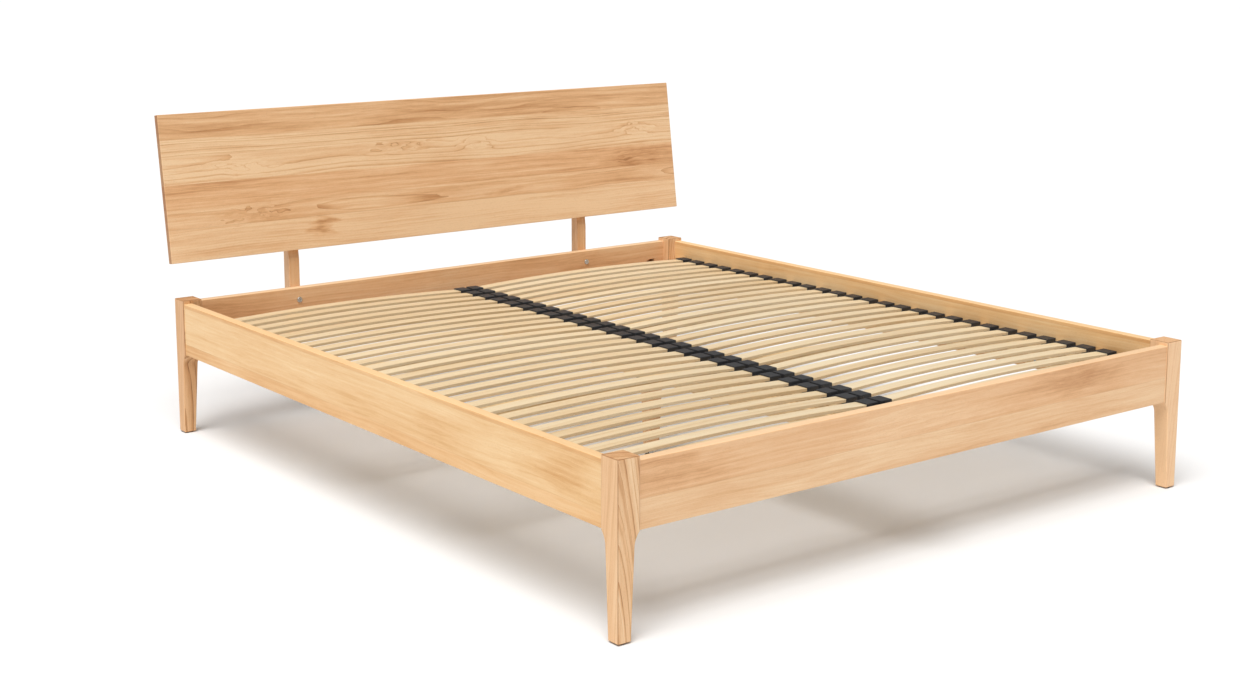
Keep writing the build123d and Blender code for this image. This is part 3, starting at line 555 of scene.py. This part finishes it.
def dress_frame():
    """Legs, rails, headboard and its supports: oiled hardwood."""
    wear(nodes["headboard"], wood(
        "headboard_staves", headboard_board(), HONEY, LIVELY, HEADBOARD_STAVES, wander=0.028,
        ring_width=0.0065, eyes=HEADBOARD_EYES, end_tint_and_shade=HEADBOARD_END_TINT_AND_SHADE,
    ))
    for shift, side in enumerate(("left", "right")):
        rail = f"{side}_side_rail"
        # The side rails' top and bottom faces get a painted highlight.
        wear(nodes[rail], wood(
            f"{rail}_wood", board_of(rail, Y, Z), STRAW, CALM, reseeded(SIDE_RAIL_STAVES, 0.37 * shift),
            wander=0.05, painted_highlight_sides=0.6, eyes=SIDE_RAIL_PATCHES,
        ))
        support = f"{side}_headboard_support"
        stave = Stave(0.0, 0.45, 0.3, 0.17 + 0.3 * shift, 0.6, (-0.12, 0.2))
        wear(nodes[support], wood(f"{support}_wood", board_of(support, Z, X), HONEY, CALM, (stave,)))
    for shift, end in enumerate(("foot", "head")):
        rail = f"{end}_rail"
        # The end rails' top and bottom faces get a painted highlight.
        wear(nodes[rail], wood(
            f"{rail}_wood", board_of(rail, X, Z), HONEY, CALM, reseeded(END_RAIL_STAVES, 0.29 * shift),
            wander=0.05, painted_highlight_sides=0.6, eyes=END_RAIL_PATCHES,
        ))
    for leg, stave in LEG_STAVES.items():
        wear(nodes[leg], wood(
            f"{leg}_wood", board_of(leg, Z, X), HONEY, LEG, (stave,), wander=0.03, ring_width=0.0075,
            slope=0.09, plain_sides=0.72, edge=LEG_CORNER_LINE_AND_SHADE,
        ))


def dress_inner_frame():
    """Ledges and beam: planed softwood. Centre leg and dowels: hardwood."""
    ringed = (("left_ledge", Y, Z), ("right_ledge", Y, Z), ("centre_beam", Y, X))
    for index, (node, along, across) in enumerate(ringed):
        stave = Stave(0.0, 0.34, 0.1, 0.2 + 0.27 * index, 1.0, (0.06, -0.08))
        wear(nodes[node], wood(
            f"{node}_wood", board_of(node, along, across), SOFTWOOD, RINGED, (stave,), wander=0.02,
            ring_width=0.0042, roughness=0.58,
        ))
    stave = Stave(0.0, 0.42, 0.3, 0.36, 0.8, (0.02, -0.04))
    wear(nodes["centre_leg"], wood("centre_leg_wood", board_of("centre_leg", Z, X), HONEY, CALM, (stave,)))
    stave = Stave(0.0, 0.45, 0.2, 0.52, 0.5, (0.2, 0.1))
    for node, along in (("rail_dowels", Y), ("left_base_dowels", X), ("right_base_dowels", X)):
        wear(nodes[node], wood(
            f"{node}_wood", board_of(node, along, Z), HONEY, CALM, (stave,),
            edge=Edge(HONEY.light, 0.0), roughness=0.6,
        ))


def dress_base(side):
    """A slatted base: softwood runners and cross rails, laminated slats."""
    offset = 0.0 if side == "left" else 0.43
    pieces = (
        ("outer_runner", Y), ("inner_runner", Y), ("foot_cross_rail", X), ("head_cross_rail", X),
        ("foot_inner_cross_rail", X), ("head_inner_cross_rail", X),
    )
    for index, (piece, along) in enumerate(pieces):
        node = f"{side}_base_{piece}"
        seed = (0.07 + 0.151 * index + offset) % 1.0
        stave = Stave(0.0, 0.30 + 0.03 * (index % 3), 0.05, seed, 1.0, (0.05, -0.05))
        wear(nodes[node], wood(
            f"{node}_wood", board_of(node, along, Z), SOFTWOOD, RINGED, (stave,), wander=0.02,
            ring_width=0.0038, roughness=0.6,
        ))
    slats = nodes[f"{side}_base_slats"]
    wear(slats, laminated_birch(f"{side}_base_slats_wood", slats.name))
    round_edges(slats, SLAT_ROUNDING)


def laminated_birch(name, node):
    """Slats of thin plies: a wide calm figure on top, the plies on the long edges."""
    material, tree, shader = surface(name, specular=0.5, coat=0.12, coat_roughness=0.28)
    low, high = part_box(node)
    place = tree.vector("SUBTRACT", tree.object_place(), tuple(low))
    along, across, rise = tree.split(place)

    from_gap = tree.plus(across, (SLAT_PITCH - SLAT_WIDTH) / 2)
    number = tree.math("FLOOR", tree.math("DIVIDE", from_gap, SLAT_PITCH))
    seed = {"W": tree.plus(number, 0.37 * len(node))}
    chance = tree.split(tree.add("TexWhiteNoise", seed, "Color", noise_dimensions="1D"))
    half_span = (high.x - low.x) / 2
    from_middle = tree.math("DIVIDE", tree.minus(along, half_span), half_span)
    camber = tree.times(tree.minus(1.0, tree.times(from_middle, from_middle)), SLAT_CAMBER)
    in_slat = tree.minus(rise, camber)
    ply = tree.times(in_slat, SLAT_PLIES / SLAT_THICKNESS)

    # The outer ply is peeled from the log, so its figure is wide and lies nearly flat.
    pith = (tree.times(chance[1], 0.04), -0.16)
    in_log = tree.join(along, across, in_slat)
    parts = timber(tree, in_log, chance[0], pith, wander=0.05, ring_width=0.006)
    shade = tree.plus(0.16, tree.times(chance[2], 0.36))
    amounts = {"Rings": 0.75, "Lines": 0.10, "Streaks": 0.55, "Fibre": 0.26, "Clouds": 0.4}
    for key, amount in amounts.items():
        shade = tree.plus(shade, tree.times(tree.minus(parts[key], 0.5), amount))
    stops = [(0.10, BIRCH.light), (0.45, BIRCH.middle), (0.80, BIRCH.dark), (1.0, BIRCH.deep)]
    colour = tree.ramp(shade, stops)
    colour = tree.mix(tree.times(parts["Flecks"], 0.3), colour, BIRCH.deep)

    facing = tree.math("ABSOLUTE", tree.split(tree.object_normal())[1])
    side_face = tree.rise(facing, 0.4, 0.8)
    in_ply = tree.math("FRACT", ply)
    glue = tree.math("ABSOLUTE", tree.minus(in_ply, 0.5))
    glue = tree.rise(glue, 0.38, 0.48)
    other = tree.math("MODULO", tree.math("FLOOR", ply), 2.0)
    plies = tree.mix(tree.times(other, 0.35), colour, BIRCH.dark)
    plies = tree.mix(tree.times(glue, 0.55), plies, BIRCH.deep)
    colour = tree.mix(side_face, colour, plies)

    rough = tree.plus(0.40, tree.times(tree.minus(parts["Streaks"], 0.5), 0.14))
    rough = tree.plus(rough, tree.times(side_face, 0.14))
    height = tree.minus(tree.times(parts["Fibre"], 0.7), tree.times(parts["Flecks"], 0.4))
    height = tree.minus(height, tree.times(tree.times(glue, side_face), 0.8))
    connect(tree, shader, colour, rough, tree.bump(height, 0.00015, 0.6))
    return material


# ---------------------------------------------------------------- metal, plastic and felt
def zinc_plated():
    material, tree, shader = surface("zinc_plated_steel", metallic=1.0)
    place = tree.object_place()
    clouds = tree.noise(place, 90.0, 3.0, 0.6)
    grit = tree.noise(place, 2600.0, 2.0, 0.6)
    stops = [(0.25, paint(176, 182, 188)), (0.5, paint(204, 206, 206)), (0.75, paint(214, 208, 190))]
    colour = tree.ramp(clouds, stops)
    scuffs = tree.noise(tree.vector("MULTIPLY", place, (300.0, 40.0, 300.0)), detail=2.0)
    scuffs = tree.rise(scuffs, 0.62, 0.72)
    colour = tree.mix(tree.times(scuffs, 0.3), colour, paint(140, 142, 146))
    rough = tree.plus(tree.plus(0.24, tree.times(clouds, 0.16)), tree.times(scuffs, 0.12))
    connect(tree, shader, colour, rough, tree.bump(grit, 0.00004, 0.5))
    return material


def powder_coated():
    material, tree, shader = surface("dark_powder_coat", specular=0.45)
    place = tree.object_place()
    peel = tree.noise(place, 900.0, 2.0, 0.5)
    patches = tree.noise(place, 14.0, 3.0, 0.6)
    colour = tree.ramp(patches, [(0.3, paint(62, 63, 66)), (0.7, paint(78, 79, 82))])
    grains = tree.rise(tree.noise(place, 3500.0, 1.0), 0.60, 0.75)
    colour = tree.mix(tree.times(grains, 0.25), colour, paint(112, 113, 116))
    rough = tree.plus(0.44, tree.times(peel, 0.16))
    connect(tree, shader, colour, rough, tree.bump(peel, 0.00012, 0.7))
    return material


def turned_brass():
    material, tree, shader = surface("turned_brass", metallic=1.0)
    place = tree.object_place()
    turns = tree.noise(tree.vector("MULTIPLY", place, (60.0, 60.0, 5200.0)), detail=2.0)
    tarnish = tree.noise(place, 160.0, 3.0, 0.6)
    colour = tree.ramp(tarnish, [(0.3, paint(222, 188, 110)), (0.7, paint(196, 156, 84))])
    rough = tree.plus(0.22, tree.times(turns, 0.18))
    connect(tree, shader, colour, rough, tree.bump(turns, 0.00003, 0.6))
    return material


def moulded_plastic(name, light, dark):
    """A fine spark-eroded grain with faint flow marks and rubbed high spots."""
    material, tree, shader = surface(name, specular=0.45)
    place = tree.object_place()
    cells = tree.add("TexVoronoi", {"Vector": place, "Scale": 1500.0}, "Distance")
    flow = tree.noise(tree.vector("MULTIPLY", place, (18.0, 30.0, 18.0)), detail=3.0, roughness=0.6)
    colour = tree.ramp(flow, [(0.3, dark), (0.7, light)])
    rubbed = tree.rise(tree.noise(place, 240.0, 3.0, 0.65), 0.56, 0.74)
    colour = tree.mix(tree.times(rubbed, 0.22), colour, paint(92, 91, 90))
    rough = tree.plus(tree.plus(0.46, tree.times(flow, 0.16)), tree.times(rubbed, -0.08))
    connect(tree, shader, colour, rough, tree.bump(cells, 0.00006, 0.6))
    return material


def pressed_felt():
    """Short matted wool fibres in several browns."""
    material, tree, shader = surface("pressed_felt", specular=0.2, sheen=0.5)
    place = tree.object_place()
    swirl = tree.noise(place, 420.0, 2.0, 0.6, output="Color")
    matted = tree.vector("ADD", place, tree.scaled(swirl, 0.004))
    layers = []
    for fineness in ((900.0, 2600.0, 2600.0), (2600.0, 900.0, 2600.0)):
        drawn_out = tree.vector("MULTIPLY", matted, fineness)
        layers.append(tree.noise(drawn_out, detail=3.0, roughness=0.7))
    hairs = tree.math("MAXIMUM", *layers)
    stops = [(0.40, paint(78, 66, 54)), (0.58, paint(120, 105, 88)), (0.75, paint(164, 148, 128))]
    colour = tree.ramp(hairs, stops)
    connect(tree, shader, colour, tree.rise(hairs, 0.3, 0.8, 0.98, 0.86), tree.bump(hairs, 0.0005, 0.8))
    return material


def dress_hardware():
    zinc = zinc_plated()
    for node in ("rail_studs", "rail_nuts", "rail_nut_washers", "headboard_screws", "support_bolts",
                 "support_sleeve_nuts", "ledge_screws", "beam_shoe_screws", "centre_leg_stud",
                 "centre_leg_plate_screws", "levelling_spindle"):
        wear(nodes[node], zinc)
    coated = powder_coated()
    for node in ("foot_beam_shoe", "head_beam_shoe", "centre_leg_plate"):
        wear(nodes[node], coated)
    wear(nodes["centre_leg_insert"], turned_brass())
    caps = moulded_plastic("cap_plastic", paint(48, 48, 50), paint(36, 36, 38))
    for side in ("left", "right"):
        for runner in ("outer", "inner"):
            wear(nodes[f"{side}_base_{runner}_slat_caps"], caps)
    wear(nodes["levelling_glide"], moulded_plastic("glide_plastic", paint(58, 55, 52), paint(44, 42, 40)))


# ---------------------------------------------------------------- modelled pieces
def round_edges(piece, width):
    """Rounds a CAD piece's square edges with modifiers; the mesh itself stays as packed."""
    weld = piece.modifiers.new("weld", "WELD")
    weld.merge_threshold = 0.00002
    bevel = piece.modifiers.new("round", "BEVEL")
    bevel.width = width
    bevel.segments = 2
    bevel.limit_method = "ANGLE"
    bevel.angle_limit = math.radians(40)
    normals = piece.modifiers.new("normals", "WEIGHTED_NORMAL")
    normals.keep_sharp = True


FELT_ROUNDING = 0.28        # of the felt's height
FELT_SIDES = 96
FELT_FRAY = 0.0004          # how far the rim's fibres draw back at most
FELT_FLATS = (0.0, 0.55, 0.9)       # rings on the flat faces, as shares of the radius


def felt_profile(radius, height):
    """(share of the radius, height) of the disc's rings from the middle of its underside, round
    the rim, to the middle of its top."""
    rounding = FELT_ROUNDING * height
    profile = [(share, 0.0) for share in FELT_FLATS]
    for start, centre_z in ((-90, rounding), (0, height - rounding)):
        for step in range(5):
            angle = math.radians(start + 22.5 * step)
            rim = 1.0 - rounding / radius * (1 - math.cos(angle))
            profile.append((rim, centre_z + rounding * math.sin(angle)))
    return profile + [(share, height) for share in reversed(FELT_FLATS)]


def felt_disc(name, node, body, material):
    """A pressed felt disc, its rim a little frayed and rounded, in place of the CAD cylinder."""
    low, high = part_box(node)
    centre = (low + high) / 2
    radius = (high.x - low.x) / 2
    height = high.z - low.z

    mesh = bpy.data.meshes.new(name)
    shape = bmesh.new()
    rings = []
    for share, z in felt_profile(radius, height):
        if share == 0.0:
            rings.append([shape.verts.new((0, 0, z))])
            continue
        ring = []
        for index in range(FELT_SIDES):
            angle = 2 * math.pi * index / FELT_SIDES
            rise = z / height
            fray = 0.5 + 0.25 * math.sin(7 * angle + 40 * rise) + 0.25 * math.sin(17 * angle - 9 * rise)
            reach = radius * share - (FELT_FRAY * fray if share > FELT_FLATS[-1] else 0.0)
            ring.append(shape.verts.new((reach * math.cos(angle), reach * math.sin(angle), z)))
        rings.append(ring)
    for lower, upper in zip(rings, rings[1:]):
        for index in range(FELT_SIDES):
            after = (index + 1) % FELT_SIDES
            if len(lower) == 1:
                shape.faces.new((lower[0], upper[after], upper[index]))
            elif len(upper) == 1:
                shape.faces.new((lower[index], lower[after], upper[0]))
            else:
                shape.faces.new((lower[index], lower[after], upper[after], upper[index]))
    shape.to_mesh(mesh)
    shape.free()
    mesh.shade_smooth()
    disc = bpy.data.objects.new(name, mesh)
    disc.location = (centre.x, centre.y, low.z)
    bpy.context.scene.collection.objects.link(disc)
    wear(disc, material)
    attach(disc, body)
    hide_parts(node)


def make_felts():
    felt = pressed_felt()
    for end in ("foot", "head"):
        for side in ("left", "right"):
            felt_disc(f"{end}_{side}_felt_disc", f"{end}_{side}_glide", "frame", felt)
    felt_disc("levelling_felt_disc", "levelling_glide_felt", "levelling_foot", felt)


# ---------------------------------------------------------------- floor, light and camera
FLOOR_HALF = 60.0
SUN_DIRECTION = (-0.36, -0.26, 0.90)    # towards the light
SUN_STRENGTH = 3.35
SUN_WIDTH = math.radians(42)
WORLD_STRENGTH = 0.36                   # as light; the background itself is seen as white

CAMERA_PLACE = (-3.1691, -4.0411, 1.4676)
CAMERA_YAW = math.radians(37.409)       # from +Y towards +X
CAMERA_PITCH = math.radians(10.125)     # below the horizon
CAMERA_LENS = 54.66                     # mm
CAMERA_SENSOR = 36.0                    # mm wide
CAMERA_SHIFT_UP = -0.07


def make_floor():
    mesh = bpy.data.meshes.new("floor")
    corners = [(x * FLOOR_HALF, y * FLOOR_HALF, 0.0) for x, y in ((-1, -1), (1, -1), (1, 1), (-1, 1))]
    mesh.from_pydata(corners, [], [(0, 1, 2, 3)])
    floor = bpy.data.objects.new("floor", mesh)
    bpy.context.scene.collection.objects.link(floor)
    material, tree, shader = surface("pale_floor", specular=0.1)
    tint = tree.noise(tree.object_place(), 0.8, 2.0)
    colour = tree.ramp(tint, [(0.3, grey(0.80)), (0.7, grey(0.82))])
    connect(tree, shader, colour, 0.9, tree.bump(tree.noise(tree.object_place(), 300.0), 0.0001, 0.2))
    wear(floor, material)


def make_light():
    """A wide soft sun from above, a little to the left and front, in a plain pale studio."""
    light = bpy.data.lights.new("sky_light", "SUN")
    light.energy = SUN_STRENGTH
    light.angle = SUN_WIDTH
    lamp = bpy.data.objects.new("sky_light", light)
    lamp.rotation_euler = Vector(SUN_DIRECTION).to_track_quat("Z", "Y").to_euler()
    bpy.context.scene.collection.objects.link(lamp)

    world = bpy.data.worlds.new("studio")
    world.use_nodes = True
    tree = Tree(world.node_tree)
    seen = tree.add("LightPath", output="Is Camera Ray")
    strength = tree.rise(seen, 0.0, 1.0, WORLD_STRENGTH, 1.0)
    background = world.node_tree.nodes["Background"]
    background.inputs["Color"].default_value = grey(1.0)
    tree.feed(background.inputs["Strength"], strength)
    bpy.context.scene.world = world


def make_camera():
    camera = bpy.data.objects.new("camera", bpy.data.cameras.new("camera"))
    camera.data.sensor_width = CAMERA_SENSOR
    camera.data.lens = CAMERA_LENS
    camera.data.shift_y = CAMERA_SHIFT_UP
    camera.data.clip_end = 3 * FLOOR_HALF
    camera.location = CAMERA_PLACE
    camera.rotation_euler = Euler((math.pi / 2 - CAMERA_PITCH, 0.0, -CAMERA_YAW))
    bpy.context.scene.collection.objects.link(camera)
    bpy.context.scene.camera = camera


def main():
    dress_frame()
    dress_inner_frame()
    for side in ("left", "right"):
        dress_base(side)
    dress_hardware()
    make_felts()
    make_floor()
    make_light()
    make_camera()
    bpy.context.scene.view_settings.view_transform = "Standard"


main()
